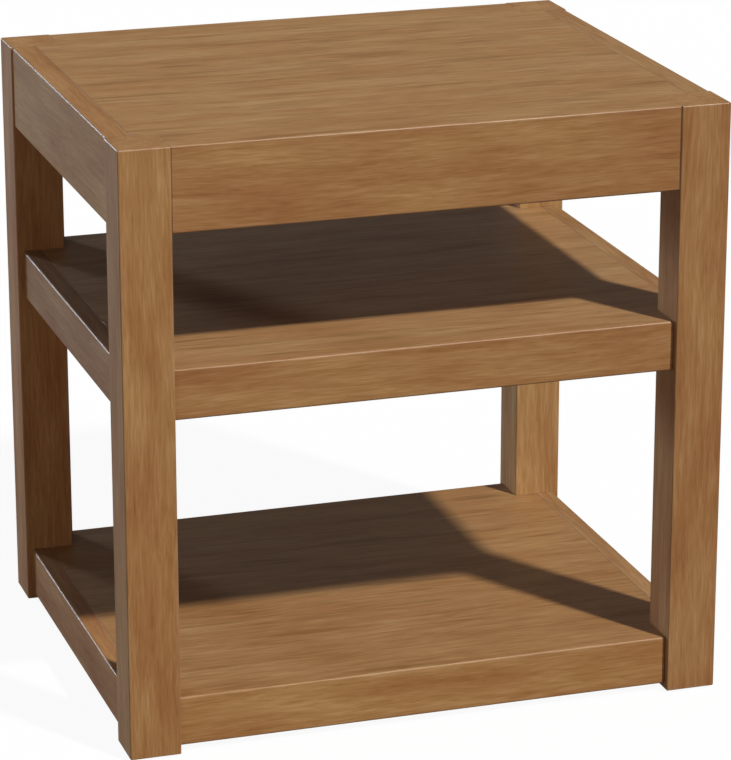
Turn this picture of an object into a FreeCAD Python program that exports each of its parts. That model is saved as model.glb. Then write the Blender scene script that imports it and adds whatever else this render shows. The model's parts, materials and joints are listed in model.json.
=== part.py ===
import FreeCAD, Part
import os
from collections import namedtuple
from FreeCAD import Vector

# End table with two shelves, in millimetres.
# X runs across the width, Y from the front (-Y) to the back (+Y), Z up from the floor.

# Overall size
table_width = 550.0
table_depth = 450.0
table_height = 550.0

# Square legs that run up through the corners of the top
leg_size = 46.0
leg_ease = 1.5
leg_crown_ease = 1.3
leg_foot_ease = 1.0

# Heights of the top box and of the two shelf boxes
apron_height = 76.0
shelf_height = 45.5
floor_gap = 7.5
lower_bay_height = 255.0

# Setback of the board faces from the leg faces
apron_setback = 1.5
shelf_setback = 6.0

# Eased edges of the boards
edge_ease = 2.0
seam_ease = 0.2
inner_bevel = 0.3

# Fine shadow lines where the rails meet the legs
end_relief = 0.25
end_relief_depth = 1.5

# Panels: notches round the legs and tongues in the side rails
notch_clearance = 0.15
tongue_share = 1 / 3
tongue_length = 8.0
tongue_clearance = 0.2

# Dowels between rails and legs
dowel_diameter = 8.0
dowel_length = 40.0
dowel_bevel = 1.0
dowel_clearance = 0.1
dowel_end_clearance = 1.0
dowel_height_shares = (0.2, 0.55)

# Cleats inside the front and back mitres
cleat_share = 0.9
cleat_bevel = 2.0
cleat_end_gap = 10.0
panel_screw_shares = (-0.8, 0.0, 0.8)
rail_screw_shares = (-0.4, 0.4)

# Corner blocks under the top
block_leg = 80.0
block_tip = 10.0
block_height = 40.0
block_seat = 14.0
block_screw_share = 0.75

# Countersunk wood screws
screw_diameter = 4.0
screw_head_diameter = 8.0
screw_head_height = 2.4
screw_tip = 3.0
recess_length = 4.4
recess_width = 1.0
recess_depth = 1.4
screw_bite = 11.0
screw_clearance = 0.1

# Glides nailed under the legs
glide_diameter = 24.0
glide_lift = 2.0
glide_bevel = 0.5
glide_pin_diameter = 4.0
glide_pin_length = 14.0
glide_pin_clearance = 0.1

# Overrun of every cutting shape past the face it cuts, and the share of it that counts as the same place
overrun = 5.0
same_place_share = 1e-4
full_turn = 360.0

# Positions that follow from the sizes above
half_width = table_width / 2
half_depth = table_depth / 2
leg_x = half_width - leg_size
leg_y = half_depth - leg_size
seam_x = half_width - leg_size / 2
seam_y = half_depth - leg_size / 2
bottom_shelf_top = floor_gap + shelf_height
middle_shelf_top = bottom_shelf_top + lower_bay_height + shelf_height
cleat_half = seam_x - block_leg - cleat_end_gap

origin = Vector(0, 0, 0)
along_x = Vector(1, 0, 0)
along_y = Vector(0, 1, 0)
along_z = Vector(0, 0, 1)

Tier = namedtuple("Tier", "name rail_name top height setback")
tiers = (
    Tier("top", "apron", table_height, apron_height, apron_setback),
    Tier("middle_shelf", "middle_shelf_rail", middle_shelf_top, shelf_height, shelf_setback),
    Tier("bottom_shelf", "bottom_shelf_rail", bottom_shelf_top, shelf_height, shelf_setback),
)
top_tier = tiers[0]


# Places in a tier: its boards reach from the setback to the legs' centre lines
def board(tier):
    return leg_size / 2 - tier.setback


def face_x(tier):
    return half_width - tier.setback


def face_y(tier):
    return half_depth - tier.setback


def underside(tier):
    return tier.top - tier.height


def panel_underside(tier):
    return tier.top - board(tier)


# Shape helpers
def box_between(low, high):
    size = high - low
    return Part.makeBox(size.x, size.y, size.z, low)


def prism(points, length):
    outline = Part.makePolygon(points + points[:1])
    return Part.Face(outline).extrude(length)


def pointed(shape, base, direction):
    shape.Placement = FreeCAD.Placement(base, FreeCAD.Rotation(along_z, direction))
    return shape


def turned(outline, base, direction):
    points = [Vector(radius, 0, height) for radius, height in outline]
    shape = Part.Face(Part.makePolygon(points + points[:1])).revolve(origin, along_z, full_turn)
    return pointed(shape, base, direction)


def mirror_x(shape):
    return shape.mirror(origin, along_x)


def mirror_y(shape):
    return shape.mirror(origin, along_y)


def with_mirror(shapes, mirror):
    return list(shapes) + [mirror(shape) for shape in shapes]


def at_corners(shapes):
    return with_mirror(with_mirror(shapes, mirror_x), mirror_y)


def edges_at(shape, **places):
    tolerance = overrun * same_place_share
    found = []
    for edge in shape.Edges:
        ends = [vertex.Point for vertex in edge.Vertexes]
        gaps = [abs(abs(getattr(end, axis)) - place) for end in ends for axis, place in places.items()]
        if max(gaps) < tolerance:
            found.append(edge)
    return found


def running(direction, edges):
    least = 1 - same_place_share
    return [edge for edge in edges if abs(edge.tangentAt(edge.FirstParameter) * direction) > least]


# Dowels of the front left corner, centred on the faces where the rails meet the leg
def dowel_heights(tier):
    return [underside(tier) + share * tier.height for share in dowel_height_shares]


def front_rail_dowels(tier):
    middle_y = -(face_y(tier) + seam_y) / 2
    return [(Vector(-leg_x, middle_y, height), along_x) for height in dowel_heights(tier)]


def left_rail_dowels(tier):
    middle_x = -(face_x(tier) + seam_x) / 2
    return [(Vector(middle_x, -leg_y, height), along_y) for height in dowel_heights(tier)]


def dowel(centre, direction):
    radius = dowel_diameter / 2
    outline = [
        (0, 0),
        (radius - dowel_bevel, 0),
        (radius, dowel_bevel),
        (radius, dowel_length - dowel_bevel),
        (radius - dowel_bevel, dowel_length),
        (0, dowel_length),
    ]
    return turned(outline, centre - direction * (dowel_length / 2), direction)


def dowel_hole(centre, direction):
    reach = dowel_length / 2 + dowel_end_clearance
    radius = dowel_diameter / 2 + dowel_clearance
    return Part.makeCylinder(radius, 2 * reach, centre - direction * reach, direction)


def dowel_group(tier):
    return at_corners([dowel(*place) for place in front_rail_dowels(tier) + left_rail_dowels(tier)])


# Screws point along their direction, heads flush with the face at their base
def screw_outline(length, growth):
    head = screw_head_diameter / 2 + growth
    shank = screw_diameter / 2 + growth
    return [
        (0, 0),
        (head, 0),
        (shank, screw_head_height),
        (shank, length - screw_tip),
        (0, length + growth),
    ]


def cross_recess():
    arms = []
    for length, width in ((recess_length, recess_width), (recess_width, recess_length)):
        corner = Vector(length / 2, width / 2, 0)
        arms.append(box_between(-corner - along_z * overrun, corner + along_z * recess_depth))
    return arms[0].fuse(arms[1])


def screw(length, base, direction):
    blank = turned(screw_outline(length, 0), base, direction)
    return blank.cut(pointed(cross_recess(), base, direction))


def screw_hole(length, base, direction):
    return turned(screw_outline(length, screw_clearance), base, direction)


# Screws of the front cleat: up into the panel, and forward into the rail
def cleat_size(tier):
    return board(tier) * cleat_share


def panel_screws(tier):
    size = cleat_size(tier)
    low = panel_underside(tier) - size
    places = [Vector(share * cleat_half, -seam_y + size / 2, low) for share in panel_screw_shares]
    return [(size + screw_bite, place, along_z) for place in places]


def rail_screws(tier):
    size = cleat_size(tier)
    middle = panel_underside(tier) - size / 2
    places = [Vector(share * cleat_half, -seam_y + size, middle) for share in rail_screw_shares]
    return [(size + screw_bite, place, -along_y) for place in places]


def cleat_screw_group(tier):
    return with_mirror([screw(*place) for place in panel_screws(tier) + rail_screws(tier)], mirror_y)


# Screws of the front left corner block: one into each apron
block_screw_length = block_seat + screw_bite
block_screw_reach = leg_size / 2 + block_screw_share * (block_leg - leg_size / 2)
block_screw_height = panel_underside(top_tier) - block_height / 2


def front_block_screw():
    base = Vector(-seam_x + block_screw_reach, -seam_y + block_seat, block_screw_height)
    return block_screw_length, base, -along_y


def left_block_screw():
    base = Vector(-seam_x + block_seat, -seam_y + block_screw_reach, block_screw_height)
    return block_screw_length, base, -along_x


# Glides: a round foot with a pin driven into the end of the leg
def glide_outline(growth):
    return [
        (0, 0),
        (glide_diameter / 2 - glide_bevel, 0),
        (glide_diameter / 2, glide_bevel),
        (glide_diameter / 2, glide_lift),
        (glide_pin_diameter / 2 + growth, glide_lift),
        (glide_pin_diameter / 2 + growth, glide_lift + glide_pin_length + growth),
        (0, glide_lift + glide_pin_length + growth),
    ]


def glide(growth):
    return turned(glide_outline(growth), Vector(-seam_x, -seam_y, 0), along_z)


# Legs: eased square posts with blind holes for the dowels and the glide pin
def leg_envelope(clearance):
    low = Vector(-half_width - overrun, -half_depth - overrun, -overrun)
    high = Vector(-leg_x + clearance, -leg_y + clearance, table_height + overrun)
    return box_between(low, high)


# The crown rounds the two outer upper edges and leaves the inner ones crisp against the panel
def leg_crown():
    low = Vector(-half_width, -half_depth, -overrun)
    block = box_between(low, Vector(-leg_x + overrun, -leg_y + overrun, table_height))
    block = block.makeFillet(leg_ease, edges_at(block, x=half_width, y=half_depth))
    outer = edges_at(block, x=half_width, z=table_height) + edges_at(block, y=half_depth, z=table_height)
    return block.makeFillet(leg_crown_ease, outer)


def leg():
    low = Vector(-half_width, -half_depth, glide_lift)
    post = box_between(low, Vector(-leg_x, -leg_y, table_height))
    post = post.makeFillet(leg_ease, running(along_z, post.Edges))
    post = post.makeFillet(leg_foot_ease, edges_at(post, z=glide_lift))
    post = post.common(leg_crown())
    holes = [glide(glide_pin_clearance)]
    for tier in tiers:
        holes += [dowel_hole(*place) for place in front_rail_dowels(tier) + left_rail_dowels(tier)]
    return post.cut(holes)


# One folded section per tier: front rail, panel and back rail with a single eased arris over each mitre
def folded_section(tier):
    low = underside(tier)
    under = panel_underside(tier)
    outline = [
        Vector(-seam_x, -face_y(tier), low),
        Vector(-seam_x, -face_y(tier), tier.top),
        Vector(-seam_x, face_y(tier), tier.top),
        Vector(-seam_x, face_y(tier), low),
        Vector(-seam_x, seam_y, low),
        Vector(-seam_x, seam_y, under),
        Vector(-seam_x, -seam_y, under),
        Vector(-seam_x, -seam_y, low),
    ]
    section = prism(outline, along_x * (2 * seam_x))
    arrises = edges_at(section, y=face_y(tier), z=tier.top) + edges_at(section, y=face_y(tier), z=low)
    section = section.makeFillet(edge_ease, running(along_x, arrises))
    return section.makeChamfer(inner_bevel, edges_at(section, y=seam_y, z=low))


# Everything in front of the plane that mitres the front rail to the panel
def front_of_mitre(tier):
    start = -seam_x - overrun
    low = underside(tier) - overrun
    outline = [
        Vector(start, -face_y(tier) - overrun, low),
        Vector(start, -face_y(tier) - overrun, tier.top + overrun),
        Vector(start, -seam_y, panel_underside(tier)),
        Vector(start, -seam_y, low),
    ]
    return prism(outline, along_x * (2 * (seam_x + overrun)))


def front_rail(tier):
    rail = folded_section(tier).common(front_of_mitre(tier))
    relief = box_between(
        Vector(-leg_x - overrun, -face_y(tier) - overrun, underside(tier) - overrun),
        Vector(-leg_x + end_relief, -face_y(tier) + end_relief_depth, tier.top + overrun),
    )
    rail = rail.cut(with_mirror([leg_envelope(0), relief], mirror_x))
    holes = with_mirror([dowel_hole(*place) for place in front_rail_dowels(tier)], mirror_x)
    holes += [screw_hole(*place) for place in rail_screws(tier)]
    if tier is top_tier:
        holes += with_mirror([screw_hole(*front_block_screw())], mirror_x)
    return rail.cut(holes)


def panel(tier):
    slab = folded_section(tier).cut(with_mirror([front_of_mitre(tier)], mirror_y))
    slab = slab.cut(at_corners([leg_envelope(notch_clearance)]))
    slab = slab.makeFillet(seam_ease, edges_at(slab, x=seam_x, z=tier.top))
    notch_y = leg_y - notch_clearance
    thickness = board(tier) * tongue_share
    middle = tier.top - board(tier) / 2
    tongue = box_between(
        Vector(-seam_x - tongue_length, -notch_y, middle - thickness / 2),
        Vector(-seam_x, notch_y, middle + thickness / 2),
    )
    slab = slab.fuse(with_mirror([tongue], mirror_x))
    return slab.cut(with_mirror([screw_hole(*place) for place in panel_screws(tier)], mirror_y))


# Left rail: an upright board whose eased upper edge shows beside the panel
def left_rail(tier):
    low = underside(tier)
    rail = box_between(Vector(-face_x(tier), -leg_y, low), Vector(-seam_x, leg_y, tier.top))
    arrises = edges_at(rail, x=face_x(tier), z=tier.top) + edges_at(rail, x=face_x(tier), z=low)
    rail = rail.makeFillet(edge_ease, arrises)
    rail = rail.makeFillet(seam_ease, edges_at(rail, x=seam_x, z=tier.top))
    rail = rail.makeChamfer(inner_bevel, edges_at(rail, x=seam_x, z=low))
    relief = box_between(
        Vector(-face_x(tier) - overrun, -leg_y - overrun, low - overrun),
        Vector(-face_x(tier) + end_relief_depth, -leg_y + end_relief, tier.top + overrun),
    )
    half_groove = board(tier) * tongue_share / 2 + tongue_clearance
    middle = tier.top - board(tier) / 2
    groove = box_between(
        Vector(-seam_x - tongue_length - tongue_clearance, -leg_y - overrun, middle - half_groove),
        Vector(-seam_x + overrun, leg_y + overrun, middle + half_groove),
    )
    holes = with_mirror([relief] + [dowel_hole(*place) for place in left_rail_dowels(tier)], mirror_y)
    if tier is top_tier:
        holes += with_mirror([screw_hole(*left_block_screw())], mirror_y)
    return rail.cut([groove] + holes)


# Front cleat: a square strip in the corner between the front rail and the panel
def front_cleat(tier):
    size = cleat_size(tier)
    under = panel_underside(tier)
    strip = box_between(
        Vector(-cleat_half, -seam_y, under - size),
        Vector(cleat_half, -seam_y + size, under),
    )
    free_edge = edges_at(strip, y=seam_y - size, z=under - size)
    strip = strip.makeChamfer(cleat_bevel, free_edge)
    return strip.cut([screw_hole(*place) for place in panel_screws(tier) + rail_screws(tier)])


# Corner block: a blunt triangle between two aprons, notched round the leg
def corner_block():
    notch = leg_size / 2
    plan = [
        (notch, 0),
        (block_leg, 0),
        (block_leg, block_tip),
        (block_tip, block_leg),
        (0, block_leg),
        (0, notch),
        (notch, notch),
    ]
    low = panel_underside(top_tier) - block_height
    points = [Vector(-seam_x + across, -seam_y + back, low) for across, back in plan]
    shape = prism(points, along_z * block_height)
    for length, base, direction in (front_block_screw(), left_block_screw()):
        sink = Part.makeCylinder(screw_head_diameter / 2 + screw_clearance, block_leg, base, -direction)
        shape = shape.cut([screw_hole(length, base, direction), sink])
    return shape


# Every node of the table by name
def tier_nodes(tier):
    front = front_rail(tier)
    left = left_rail(tier)
    cleat = front_cleat(tier)
    return {
        tier.name + "_panel": [panel(tier)],
        tier.rail_name + "_front": [front],
        tier.rail_name + "_back": [mirror_y(front)],
        tier.rail_name + "_left": [left],
        tier.rail_name + "_right": [mirror_x(left)],
        tier.name + "_cleat_front": [cleat],
        tier.name + "_cleat_back": [mirror_y(cleat)],
        tier.name + "_dowels": dowel_group(tier),
        tier.name + "_cleat_screws": cleat_screw_group(tier),
    }


def corner_nodes(name, shape):
    return {
        name + "_front_left": [shape],
        name + "_front_right": [mirror_x(shape)],
        name + "_back_left": [mirror_y(shape)],
        name + "_back_right": [mirror_x(mirror_y(shape))],
    }


def table_nodes():
    nodes = corner_nodes("leg", leg())
    for tier in tiers:
        nodes.update(tier_nodes(tier))
    nodes.update(corner_nodes("corner_block", corner_block()))
    nodes["corner_block_screws"] = at_corners([screw(*front_block_screw()), screw(*left_block_screw())])
    nodes["foot_glides"] = at_corners([glide(0)])
    return nodes


os.makedirs("parts", exist_ok=True)
for name, shapes in table_nodes().items():
    solids = [solid for shape in shapes for solid in shape.Solids]
    node = solids[0] if len(solids) == 1 else Part.makeCompound(solids)
    node.exportStep("parts/" + name + ".step")
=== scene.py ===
import json
import math

import bpy
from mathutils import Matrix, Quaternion, Vector


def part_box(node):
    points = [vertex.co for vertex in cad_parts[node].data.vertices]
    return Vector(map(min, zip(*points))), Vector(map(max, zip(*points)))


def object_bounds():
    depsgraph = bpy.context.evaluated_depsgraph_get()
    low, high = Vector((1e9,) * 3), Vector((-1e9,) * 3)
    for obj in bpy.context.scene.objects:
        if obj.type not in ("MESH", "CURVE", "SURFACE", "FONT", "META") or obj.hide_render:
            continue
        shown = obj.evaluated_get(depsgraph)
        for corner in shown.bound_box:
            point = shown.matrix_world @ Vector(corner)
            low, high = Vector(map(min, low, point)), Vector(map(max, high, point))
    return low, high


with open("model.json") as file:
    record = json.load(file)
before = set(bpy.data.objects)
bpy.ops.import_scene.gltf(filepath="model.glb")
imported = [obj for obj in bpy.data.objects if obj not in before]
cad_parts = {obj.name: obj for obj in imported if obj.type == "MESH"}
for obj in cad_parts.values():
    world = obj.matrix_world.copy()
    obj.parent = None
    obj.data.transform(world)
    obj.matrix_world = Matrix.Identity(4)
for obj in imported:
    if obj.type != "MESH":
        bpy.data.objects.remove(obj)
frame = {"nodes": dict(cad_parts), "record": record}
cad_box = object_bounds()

# Camera of the photograph: places in metres, long side of the frame on the sensor
CAMERA_PLACE = Vector((-0.9595, -3.0253, 1.2870))
CAMERA_AIM = Vector((0.0125, 0.0, 0.2528))
CAMERA_ROLL = math.radians(-0.040)
CAMERA_LENS = 170.09
CAMERA_SENSOR = 36.0

# Light: a key from the front right, a low fill from the front left, a low cool lamp
# from the back left, and an even dome
KEY_TRAVEL = Vector((-0.47, 0.81, -1.0))
KEY_STRENGTH = 3.12
KEY_SPREAD = math.radians(3.2)
KEY_COLOUR = (1.0, 1.0, 1.0)
FILL_TRAVEL = Vector((0.62, 0.785, -0.07))
FILL_STRENGTH = 0.64
FILL_SPREAD = math.radians(30)
FILL_COLOUR = (1.0, 0.97, 0.95)
BACK_TRAVEL = Vector((0.454, -0.891, -0.125))
BACK_STRENGTH = 1.82
BACK_SPREAD = math.radians(10)
BACK_COLOUR = (0.71, 0.83, 1.0)
DOME_STRENGTH = 0.088
DOME_COLOUR = (1.0, 1.0, 1.0, 1.0)

# Floor: a sheet, a hair below the foot glides, that looks white, keeps a light shadow and is clear from below
FLOOR_SIDE = 60.0
FLOOR_LEVEL = -0.0002
FLOOR_BOUNCE = 0.115
FLOOR_WHITE_SHARE = 0.94

# Woods: dark, middle and light tone, and a lighter tone for the edges that is partly wear and partly painted
# highlight
STAINED = ((0.290, 0.130, 0.043), (0.347, 0.168, 0.063), (0.407, 0.215, 0.089), (0.40, 0.29, 0.20))
UNSTAINED = ((0.44, 0.31, 0.175), (0.53, 0.38, 0.23), (0.60, 0.45, 0.29), (0.68, 0.54, 0.38))
TURNED = ((0.50, 0.35, 0.21), (0.60, 0.43, 0.27), (0.66, 0.49, 0.32), (0.72, 0.58, 0.42))
# Tints of a wood's red and yellow bands, lively or calm
LIVELY = ((0.88, 0.79, 0.75), (1.12, 1.21, 1.25))
CALM = ((0.92, 0.86, 0.76), (1.07, 1.13, 1.20))

# Figure of the wood: sizes of its grains along and across the fibres, in metres
SWAY_SIZE = (0.25, 0.07, 0.07)
SWAY_REACH = (0.0, 0.016, 0.016)
RING_WIDTH = 0.022
PATCH_SIZE = (0.12, 0.030, 0.030)
STREAK_SIZE = (0.080, 0.0042, 0.0042)
FIBRE_SIZE = (0.022, 0.0014, 0.0014)
STROKE_SIZE = (0.12, 0.010, 0.010)
FLECK_SIZE = (0.018, 0.0013, 0.0013)
PORE_SIZE = (0.006, 0.0003, 0.0003)
# Steps between the places in the log from which the pieces are cut, in metres
LOG_STEP = (1.37, 0.61, 0.43)
# Noise: its middle, its usual range, and how much detail it has
NOISE_MIDDLE = 0.5
NOISE_RANGE = (0.3, 0.7)
SMOOTH = 1.0
USUAL = 2.0
RICH = 3.0
# Noise levels between which strokes, flecks, pores and the edges' wear with its painted highlight set in
STROKE_RANGE = (0.54, 0.70)
FLECK_RANGE = (0.66, 0.78)
PORE_RANGE = (0.60, 0.70)
WEAR_AND_HIGHLIGHT_RANGE = (0.3, 0.6)
# Noise levels of the coarse grain's two bands, and from the fine grain's middle tone to its outer ones
COARSE_RANGE = (0.33, 0.67)
FINE_REACH = 0.17
# Share of the fibres in the fine grain, and of the growth rings in the coarse one
FIBRE_SHARE = 0.55
RING_SHARE = 0.3
# Colours and shares of the strokes, the flecks and the lighter tone along the edges, partly wear and partly
# painted highlight
STROKE_TINT = (0.74, 0.69, 0.54, 1.0)
FLECK_TINT = (0.45, 0.36, 0.28, 1.0)
FLECK_SHARE = 0.35
WEAR_AND_HIGHLIGHT_SHARES = (0.02, 0.16)
# Roughness that the coarse grain and the flecks add, and relief of the fibres, flecks and pores
ROUGHNESS_SWING = 0.04
FLECK_ROUGHNESS = 0.12
PIT_SHARE = -0.6
GRAIN_DEPTH = 0.0002
GRAIN_STRENGTH = 0.12

# Finishes: tones and bands, roughness, gloss and sheen of the faces, polish of the upper edges,
# lacquer of the upright faces, contrast of the grain, share of dark strokes and of painted shade in the
# joints
FINISHES = {
    "leg_wood": dict(
        tones=STAINED, bands=LIVELY, rough=0.58, gloss=0.03, sheen=0.06, polish=0.54, lacquer=0.10,
    ),
    "rail_wood": dict(
        tones=STAINED, bands=LIVELY, rough=0.58, gloss=0.03, sheen=0.05, polish=0.36, lacquer=0.10,
    ),
    "panel_wood": dict(
        tones=STAINED, rough=0.46, gloss=0.45, polish=0.36, contrast=1.2, strokes=0.8, joints=0.5,
    ),
    "frame_wood": dict(tones=UNSTAINED),
    "dowel_wood": dict(tones=TURNED),
}
# Tints that scale the colour of single boards on their long faces
BOARD_TINTS = {
    "top_panel": (1.17, 1.22, 1.12),
    "middle_shelf_panel": (1.13, 1.20, 1.18),
    "bottom_shelf_panel": (1.05, 1.07, 0.96),
    "apron_left": (1.05, 1.06, 0.98),
    "apron_right": (0.99, 1.03, 1.02),
    "middle_shelf_rail_left": (0.87, 0.85, 0.88),
    "middle_shelf_rail_right": (1.07, 1.20, 1.24),
    "bottom_shelf_rail_left": (0.97, 0.90, 0.84),
    "bottom_shelf_rail_right": (1.03, 1.11, 1.16),
    "bottom_shelf_rail_front": (1.10, 1.14, 1.12),
    "leg_front_left": (1.05, 1.07, 1.06),
    "leg_back_left": (1.08, 1.02, 1.02),
    "leg_back_right": (1.17, 1.31, 1.37),
}
PLAIN_TINT = (1.0, 1.0, 1.0)
# Tint of the legs' end grain, and the slope of the normal from which a face counts as end grain
END_TINT = (1.03, 1.06, 0.99, 1.0)
END_RANGE = (0.9, 0.6)
# Edges: their reach on the faces, the part that takes the full lighter tone (wear and painted highlight) and
# polish, and the slopes that count as rounded
EDGE_REACH = 0.0024
EDGE_CORE_SHARE = 0.3
ROUNDED_LOW = (0.05, 0.3)
ROUNDED_HIGH = (0.999, 0.97)
# Polish of the edges: more on the side edges, less on the lower pieces
POLISH_ROUGHNESS = 0.30
SIDE_RANGE = (0.0, 0.5)
SIDE_POLISH = 1.25
LOW_POLISH_SHARE = 0.45
# Lacquer: slopes that count as upright, and the share of the height where it starts
UPRIGHT_RANGE = (0.3, 0.05)
LACQUER_START = 0.2
# Painted shade of the joint lines: a darker band at the ends of rails and panels
JOINT_REACH = 0.0013
JOINT_CORE_SHARE = 0.6
JOINT_SHADE_TINT = (0.56, 0.43, 0.31, 1.0)

# Screws and glides: dark and light tone, roughness, sizes of clouds and marks in metres, relief
ZINC_TONES = ((0.42, 0.41, 0.38), (0.66, 0.65, 0.62))
ZINC_ROUGHNESS = (0.26, 0.46)
ZINC_CLOUD_SIZE = (0.004, 0.004, 0.004)
SCRATCH_SIZE = (0.0004, 0.0004, 0.003)
SCRATCH_STRENGTH = 0.2
PLASTIC_TONES = ((0.040, 0.030, 0.024), (0.075, 0.058, 0.046))
PLASTIC_ROUGHNESS = (0.5, 0.68)
PLASTIC_CLOUD_SIZE = (0.006, 0.006, 0.006)
SPECK_SIZE = (0.0005, 0.0005, 0.0005)
SPECK_STRENGTH = 0.3
MARK_DEPTH = 0.0001

# Rails that hide the ends of each panel
SIDE_RAILS = {
    "top_panel": "apron",
    "middle_shelf_panel": "middle_shelf_rail",
    "bottom_shelf_panel": "bottom_shelf_rail",
}
# Turns that bring a piece's length onto the grain axis
GRAIN_TURNS = {
    "x": (0.0, 0.0, 0.0),
    "y": (0.0, 0.0, math.radians(-90)),
    "z": (0.0, math.radians(90), 0.0),
}
# Keeps only the two directions across the fibres
ACROSS = (0.0, 1.0, 1.0)


class Graph:
    """A material's node tree, with short calls for the nodes used here."""

    def __init__(self, name):
        self.material = bpy.data.materials.new(name)
        self.material.use_nodes = True
        self.tree = self.material.node_tree
        self.tree.nodes.clear()

    def node(self, kind, **settings):
        made = self.tree.nodes.new(kind)
        for key, value in settings.items():
            setattr(made, key, value)
        return made

    def plug(self, socket, value):
        if isinstance(value, bpy.types.NodeSocket):
            self.tree.links.new(value, socket)
        else:
            socket.default_value = value

    def math(self, operation, *values):
        made = self.node("ShaderNodeMath", operation=operation)
        for socket, value in zip(made.inputs, values):
            self.plug(socket, value)
        return made.outputs["Value"]

    def vector(self, operation, *values):
        made = self.node("ShaderNodeVectorMath", operation=operation)
        for socket, value in zip(made.inputs, values):
            self.plug(socket, value)
        return made.outputs["Value" if operation == "LENGTH" else "Vector"]

    def parts(self, value):
        made = self.node("ShaderNodeSeparateXYZ")
        self.plug(made.inputs[0], value)
        return made.outputs

    def place(self):
        return self.node("ShaderNodeTexCoord").outputs["Object"]

    def normal(self):
        return self.node("ShaderNodeNewGeometry").outputs["Normal"]

    def noise(self, place, grain_size, detail=USUAL, output="Fac"):
        """Noise whose grains have the given size in metres along each axis."""
        made = self.node("ShaderNodeTexNoise")
        self.plug(made.inputs["Vector"], self.vector("DIVIDE", place, grain_size))
        made.inputs["Scale"].default_value = 1.0
        made.inputs["Detail"].default_value = detail
        return made.outputs[output]

    def bands(self, distance, width):
        """Bands of uneven width along a distance in metres."""
        made = self.node("ShaderNodeTexNoise", noise_dimensions="1D")
        self.plug(made.inputs["W"], self.math("DIVIDE", distance, width))
        made.inputs["Scale"].default_value = 1.0
        made.inputs["Detail"].default_value = USUAL
        return made.outputs["Fac"]

    def spread(self, value, low, high, to_low=0.0, to_high=1.0):
        """The value carried from one range to another and held inside it."""
        made = self.node("ShaderNodeMapRange", clamp=True)
        limits = {"From Min": low, "From Max": high, "To Min": to_low, "To Max": to_high}
        for name, number in limits.items():
            made.inputs[name].default_value = number
        self.plug(made.inputs["Value"], value)
        return made.outputs["Result"]

    def ramp(self, value, colours, places):
        made = self.node("ShaderNodeValToRGB")
        stops = made.color_ramp.elements
        while len(stops) < len(colours):
            stops.new(1.0)
        for stop, colour, place in zip(stops, colours, places):
            stop.position = place
            stop.color = (*colour, 1.0)
        self.plug(made.inputs["Fac"], value)
        return made.outputs["Color"]

    def blend(self, first, share, second):
        """The given share of a first number, the rest from a second one."""
        return self.math("MULTIPLY_ADD", first, share, self.math("MULTIPLY", second, 1 - share))

    def mix(self, kind, share, first, second):
        made = self.node("ShaderNodeMix", data_type="RGBA", blend_type=kind)
        self.plug(made.inputs["Factor"], share)
        self.plug(made.inputs["A"], first)
        self.plug(made.inputs["B"], second)
        return made.outputs["Result"]

    def mix_shader(self, share, first, second):
        made = self.node("ShaderNodeMixShader")
        for socket, value in zip(made.inputs, (share, first, second)):
            self.plug(socket, value)
        return made.outputs["Shader"]

    def bump(self, height, depth, strength):
        made = self.node("ShaderNodeBump")
        made.inputs["Strength"].default_value = strength
        made.inputs["Distance"].default_value = depth
        self.plug(made.inputs["Height"], height)
        return made.outputs["Normal"]

    def edge(self, low, high):
        """1 along the edges of a piece with the given box, 0 on its faces."""
        middle = [(a + b) / 2 for a, b in zip(low, high)]
        half = [(b - a) / 2 for a, b in zip(low, high)]
        out = self.vector("ABSOLUTE", self.vector("SUBTRACT", self.place(), middle))
        x, y, z = self.parts(self.vector("SUBTRACT", half, out))
        second = self.math("MINIMUM", self.math("MAXIMUM", x, y), self.math("MAXIMUM", y, z))
        second = self.math("MINIMUM", second, self.math("MAXIMUM", x, z))
        return self.spread(second, EDGE_REACH, EDGE_CORE_SHARE * EDGE_REACH)

    def joint(self, low, high, axis):
        """1 at the two ends of a lying piece, where it meets its neighbours."""
        if axis == "z":
            return 0.0
        at = "xyz".index(axis)
        along = self.parts(self.place())[at]
        out = self.math("ABSOLUTE", self.math("SUBTRACT", along, (low[at] + high[at]) / 2))
        half = (high[at] - low[at]) / 2
        return self.spread(out, half - JOINT_REACH, half - JOINT_CORE_SHARE * JOINT_REACH)

    def long_faces(self, axis):
        """0 on the end grain of an upright piece, 1 elsewhere."""
        if axis != "z":
            return 1.0
        up = self.parts(self.normal())["Z"]
        return self.spread(self.math("ABSOLUTE", up), *END_RANGE)

    def polish(self, edge, share):
        """Shine of the upper edges, rubbed smooth by hands."""
        slope = self.parts(self.normal())
        up = slope["Z"]
        rounded = self.math("MULTIPLY", self.spread(up, *ROUNDED_LOW), self.spread(up, *ROUNDED_HIGH))
        side = self.spread(self.math("ABSOLUTE", slope["X"]), *SIDE_RANGE, share, SIDE_POLISH * share)
        return self.math("MULTIPLY", edge, self.math("MULTIPLY", rounded, side))

    def lacquer(self, share):
        """Shine of the upright faces, none near the floor and the given share at the top."""
        up = self.parts(self.normal())["Z"]
        upright = self.spread(self.math("ABSOLUTE", up), *UPRIGHT_RANGE)
        height = self.parts(self.place())["Z"]
        top = cad_box[1][2]
        return self.math("MULTIPLY", upright, self.spread(height, LACQUER_START * top, top, 0.0, share))

    def surface(self, colour, roughness, normal, coat=0.0, **constants):
        shader = self.node("ShaderNodeBsdfPrincipled")
        self.plug(shader.inputs["Base Color"], colour)
        self.plug(shader.inputs["Roughness"], roughness)
        self.plug(shader.inputs["Normal"], normal)
        self.plug(shader.inputs["Coat Weight"], coat)
        for name, value in constants.items():
            shader.inputs[name.replace("_", " ")].default_value = value
        return self.finished(shader.outputs["BSDF"])

    def finished(self, shader):
        self.plug(self.node("ShaderNodeOutputMaterial").inputs["Surface"], shader)
        return self.material


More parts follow.
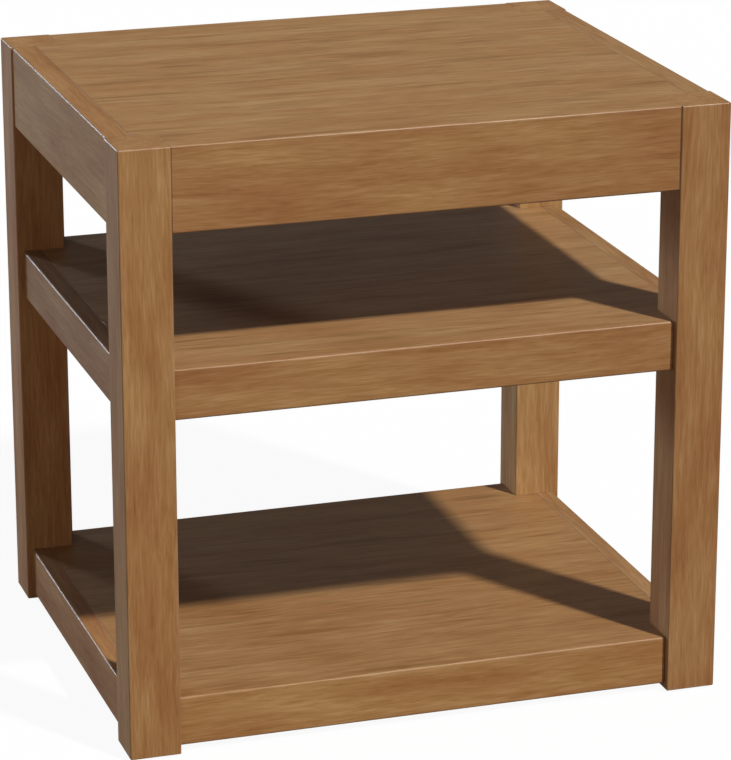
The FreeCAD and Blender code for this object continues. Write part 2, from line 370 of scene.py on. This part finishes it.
def wood(name, number, tones, bands=CALM, rough=0.60, gloss=0.20, sheen=0.04, polish=0.0, lacquer=0.0,
         contrast=1.0, strokes=0.0, joints=1.0):
    """Wood with its fibres along the piece, cut from its own part of the log."""
    dark, middle, light, wear_and_highlight_tone = tones
    low, high = seen_box(name)
    axis = grain_of(name)
    graph = Graph(name)
    turned = graph.node("ShaderNodeMapping")
    turned.inputs["Rotation"].default_value = GRAIN_TURNS[axis]
    turned.inputs["Location"].default_value = [step * number for step in LOG_STEP]
    graph.plug(turned.inputs["Vector"], graph.place())
    straight = turned.outputs["Vector"]

    sway = graph.noise(straight, SWAY_SIZE, SMOOTH, "Color")
    sway = graph.vector("SUBTRACT", sway, (NOISE_MIDDLE, NOISE_MIDDLE, NOISE_MIDDLE))
    waved = graph.vector("ADD", straight, graph.vector("MULTIPLY", sway, SWAY_REACH))
    rings = graph.bands(graph.vector("LENGTH", graph.vector("MULTIPLY", waved, ACROSS)), RING_WIDTH)
    patch = graph.noise(waved, PATCH_SIZE, SMOOTH)
    streak = graph.noise(waved, STREAK_SIZE)
    fibre = graph.noise(waved, FIBRE_SIZE)
    stroke = graph.spread(graph.noise(waved, STROKE_SIZE), *STROKE_RANGE)
    fleck = graph.spread(graph.noise(waved, FLECK_SIZE, SMOOTH), *FLECK_RANGE)
    pore = graph.spread(graph.noise(waved, PORE_SIZE, SMOOTH), *PORE_RANGE)

    fine = graph.blend(fibre, FIBRE_SHARE, streak)
    coarse = graph.blend(rings, RING_SHARE, patch)
    reach = FINE_REACH / contrast
    places = (NOISE_MIDDLE - reach, NOISE_MIDDLE, NOISE_MIDDLE + reach)
    colour = graph.ramp(fine, (dark, middle, light), places)
    colour = graph.mix("MULTIPLY", 1.0, colour, graph.ramp(coarse, bands, COARSE_RANGE))
    colour = graph.mix("MULTIPLY", graph.math("MULTIPLY", stroke, strokes), colour, STROKE_TINT)
    tint = (*BOARD_TINTS.get(name, PLAIN_TINT), 1.0)
    colour = graph.mix("MULTIPLY", 1.0, colour, graph.mix("MIX", graph.long_faces(axis), END_TINT, tint))
    colour = graph.mix("MULTIPLY", graph.math("MULTIPLY", fleck, FLECK_SHARE), colour, FLECK_TINT)
    # Painted shade: a darker band along the joint lines at both ends of the piece
    joint = graph.math("MULTIPLY", graph.joint(low, high, axis), joints)
    colour = graph.mix("MULTIPLY", joint, colour, JOINT_SHADE_TINT)
    edge = graph.edge(low, high)
    # Lighter tone along the edges: partly wear, partly a painted highlight on the arrises
    wear_and_highlight = graph.math("MULTIPLY", edge, graph.spread(streak, *WEAR_AND_HIGHLIGHT_RANGE, *WEAR_AND_HIGHLIGHT_SHARES))
    colour = graph.mix("MIX", wear_and_highlight, colour, (*wear_and_highlight_tone, 1.0))

    roughness = graph.spread(coarse, *COARSE_RANGE, rough + ROUGHNESS_SWING, rough - ROUGHNESS_SWING)
    roughness = graph.math("MULTIPLY_ADD", fleck, FLECK_ROUGHNESS, roughness)
    height = graph.math("MULTIPLY_ADD", graph.math("ADD", fleck, pore), PIT_SHARE, fibre)
    normal = graph.bump(height, GRAIN_DEPTH, GRAIN_STRENGTH)
    rise = high[2] / cad_box[1][2]
    shine = graph.polish(edge, polish * (LOW_POLISH_SHARE + (1 - LOW_POLISH_SHARE) * rise))
    shine = graph.math("ADD", shine, graph.lacquer(lacquer))
    levels = {"Specular_IOR_Level": gloss, "Sheen_Weight": sheen, "Coat_Roughness": POLISH_ROUGHNESS}
    return graph.surface(colour, roughness, normal, shine, **levels)


def zinc(name):
    """Bright zinc plating with fine scratches."""
    graph = Graph(name)
    cloud = graph.noise(graph.place(), ZINC_CLOUD_SIZE, RICH)
    scratch = graph.noise(graph.place(), SCRATCH_SIZE)
    colour = graph.ramp(cloud, ZINC_TONES, NOISE_RANGE)
    roughness = graph.spread(scratch, *NOISE_RANGE, *ZINC_ROUGHNESS)
    return graph.surface(colour, roughness, graph.bump(scratch, MARK_DEPTH, SCRATCH_STRENGTH), Metallic=1.0)


def moulded(name):
    """Dark moulded plastic with a fine matte texture."""
    graph = Graph(name)
    cloud = graph.noise(graph.place(), PLASTIC_CLOUD_SIZE)
    speck = graph.noise(graph.place(), SPECK_SIZE)
    colour = graph.ramp(cloud, PLASTIC_TONES, NOISE_RANGE)
    roughness = graph.spread(speck, *NOISE_RANGE, *PLASTIC_ROUGHNESS)
    return graph.surface(colour, roughness, graph.bump(speck, MARK_DEPTH, SPECK_STRENGTH))


def grain_of(node):
    """The axis along which a piece is longest."""
    low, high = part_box(node)
    sides = [top - bottom for bottom, top in zip(low, high)]
    return "xyz"[sides.index(max(sides))]


def seen_box(node):
    """A piece's box, for a panel without the tongues that its side rails hide."""
    low, high = (list(corner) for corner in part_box(node))
    if node in SIDE_RAILS:
        low[0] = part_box(SIDE_RAILS[node] + "_left")[1][0]
        high[0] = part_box(SIDE_RAILS[node] + "_right")[0][0]
    return low, high


def dress_nodes():
    slots = {entry["node"]: entry["material_slot"] for entry in frame["record"]["subparts"]}
    plain = {"screw_steel": zinc("screw_steel"), "glide_plastic": moulded("glide_plastic")}
    for number, name in enumerate(sorted(frame["nodes"]), start=1):
        slot = slots[name]
        if slot in plain:
            material = plain[slot]
        else:
            material = wood(name, number, **FINISHES[slot])
        frame["nodes"][name].material_slots[0].material = material


def seen_share(graph):
    """1 for rays that show a surface to the eye, directly, in a gloss or through glass."""
    path = graph.node("ShaderNodeLightPath").outputs
    seen = graph.math("MAXIMUM", path["Is Camera Ray"], path["Is Glossy Ray"])
    return graph.math("MAXIMUM", seen, path["Is Transmission Ray"])


def floor_material():
    graph = Graph("floor")
    seen = seen_share(graph)
    lit = graph.node("ShaderNodeBsdfDiffuse")
    graph.plug(lit.inputs["Color"], graph.spread(seen, 0.0, 1.0, FLOOR_BOUNCE, 1.0))
    white = graph.node("ShaderNodeEmission").outputs["Emission"]
    above = graph.mix_shader(graph.math("MULTIPLY", seen, FLOOR_WHITE_SHARE), lit.outputs["BSDF"], white)
    below = graph.node("ShaderNodeNewGeometry").outputs["Backfacing"]
    clear = graph.node("ShaderNodeBsdfTransparent").outputs["BSDF"]
    return graph.finished(graph.mix_shader(below, above, clear))


def add_floor():
    half = FLOOR_SIDE / 2
    corners = [(x, y, FLOOR_LEVEL) for x, y in ((-half, -half), (half, -half), (half, half), (-half, half))]
    sheet = bpy.data.meshes.new("floor")
    sheet.from_pydata(corners, [], [(0, 1, 2, 3)])
    sheet.materials.append(floor_material())
    floor = bpy.data.objects.new("floor", sheet)
    bpy.context.collection.objects.link(floor)


def add_lamp(name, travel, strength, spread, colour):
    light = bpy.data.lights.new(name, "SUN")
    light.energy = strength
    light.angle = spread
    light.color = colour
    lamp = bpy.data.objects.new(name, light)
    lamp.rotation_mode = "QUATERNION"
    lamp.rotation_quaternion = travel.to_track_quat("-Z", "Y")
    bpy.context.collection.objects.link(lamp)


def add_dome():
    world = bpy.data.worlds.new("dome")
    world.use_nodes = True
    sky = world.node_tree.nodes["Background"]
    sky.inputs["Color"].default_value = DOME_COLOUR
    sky.inputs["Strength"].default_value = DOME_STRENGTH
    bpy.context.scene.world = world


def add_camera():
    view = bpy.data.cameras.new("camera")
    view.lens = CAMERA_LENS
    view.sensor_width = CAMERA_SENSOR
    camera = bpy.data.objects.new("camera", view)
    camera.location = CAMERA_PLACE
    camera.rotation_mode = "QUATERNION"
    facing = (CAMERA_AIM - CAMERA_PLACE).to_track_quat("-Z", "Y")
    camera.rotation_quaternion = facing @ Quaternion((0.0, 0.0, 1.0), CAMERA_ROLL)
    bpy.context.collection.objects.link(camera)
    bpy.context.scene.camera = camera


bpy.context.scene.view_settings.view_transform = "Standard"
dress_nodes()
add_floor()
add_lamp("key", KEY_TRAVEL, KEY_STRENGTH, KEY_SPREAD, KEY_COLOUR)
add_lamp("fill", FILL_TRAVEL, FILL_STRENGTH, FILL_SPREAD, FILL_COLOUR)
add_lamp("back", BACK_TRAVEL, BACK_STRENGTH, BACK_SPREAD, BACK_COLOUR)
add_dome()
add_camera()
